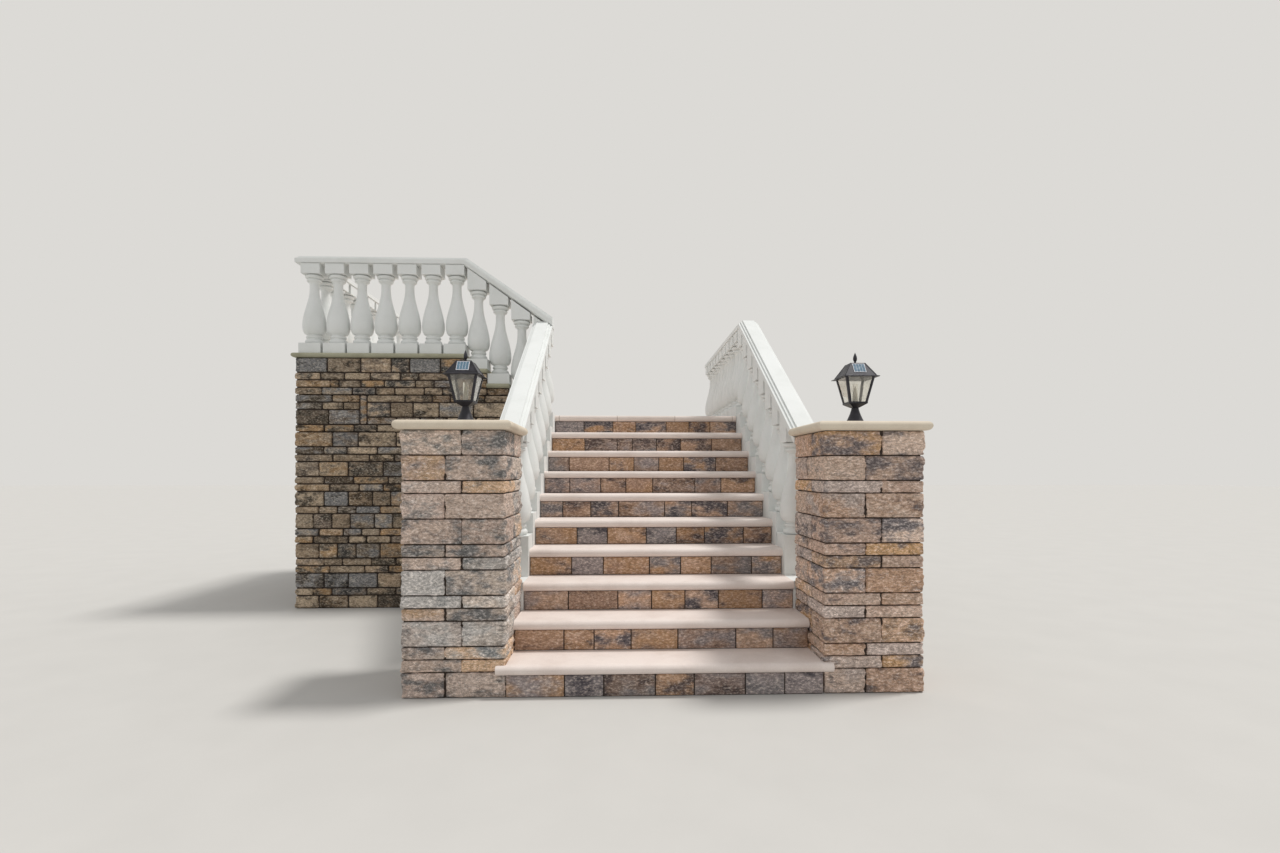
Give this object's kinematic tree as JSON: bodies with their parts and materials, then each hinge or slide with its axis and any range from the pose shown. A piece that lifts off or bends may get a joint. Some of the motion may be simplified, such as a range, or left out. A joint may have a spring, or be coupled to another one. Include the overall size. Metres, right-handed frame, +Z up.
{
  "type": "outdoor stone steps",
  "caption": "Outdoor stone steps: a straight flight between lantern piers, a landing and a short left turn to an upper landing, guarded by turned balusters.",
  "frame": {"origin": "on the ground under the foot of the first riser, midway between the two piers", "axes": "+X to the right for a person climbing the lower flight, +Y forward towards the house, +Z up"},
  "size_m": [5.12, 5.188, 3.4999],
  "materials": {
    "cast_concrete": "rough",
    "cream_cast_stone": "honed",
    "white_cast_stone": "smooth",
    "split_face_stone": "split-faced",
    "buff_coping": "honed",
    "bronze_paint": "satin",
    "clear_glass": "clear"
  },
  "bodies": {
    "root": {"lower_flight_core": "cast_concrete", "riser_facings": "split_face_stone", "tread_1": "cream_cast_stone", "tread_2": "cream_cast_stone", "tread_3": "cream_cast_stone", "tread_4": "cream_cast_stone", "tread_5": "cream_cast_stone", "tread_6": "cream_cast_stone", "tread_7": "cream_cast_stone", "tread_8": "cream_cast_stone", "tread_9": "cream_cast_stone", "string_left": "white_cast_stone", "string_right": "white_cast_stone", "flank_left": "split_face_stone", "flank_right": "split_face_stone", "pier_left": "split_face_stone", "pier_right": "split_face_stone", "cap_left": "cream_cast_stone", "cap_right": "cream_cast_stone", "lantern_left": "bronze_paint", "lantern_right": "bronze_paint", "lantern_glass_left": "clear_glass", "lantern_glass_right": "clear_glass", "landing_slab": "cream_cast_stone", "floor_decks": "cast_concrete", "left_flight_core": "cast_concrete", "left_tread_1": "cream_cast_stone", "left_tread_2": "cream_cast_stone", "upper_slab": "cream_cast_stone", "front_wall": "split_face_stone", "left_wall": "split_face_stone", "back_wall": "split_face_stone", "front_coping": "buff_coping", "left_coping": "buff_coping", "balusters_lower_left": "white_cast_stone", "balusters_lower_right": "white_cast_stone", "balusters_landing": "white_cast_stone", "balusters_left_flight": "white_cast_stone", "balusters_upper_front": "white_cast_stone", "balusters_upper_left": "white_cast_stone", "rail_lower_left": "white_cast_stone", "rail_lower_right": "white_cast_stone", "rail_landing": "white_cast_stone", "rail_left_flight": "white_cast_stone", "rail_upper": "white_cast_stone"}
  },
  "joints": []
}
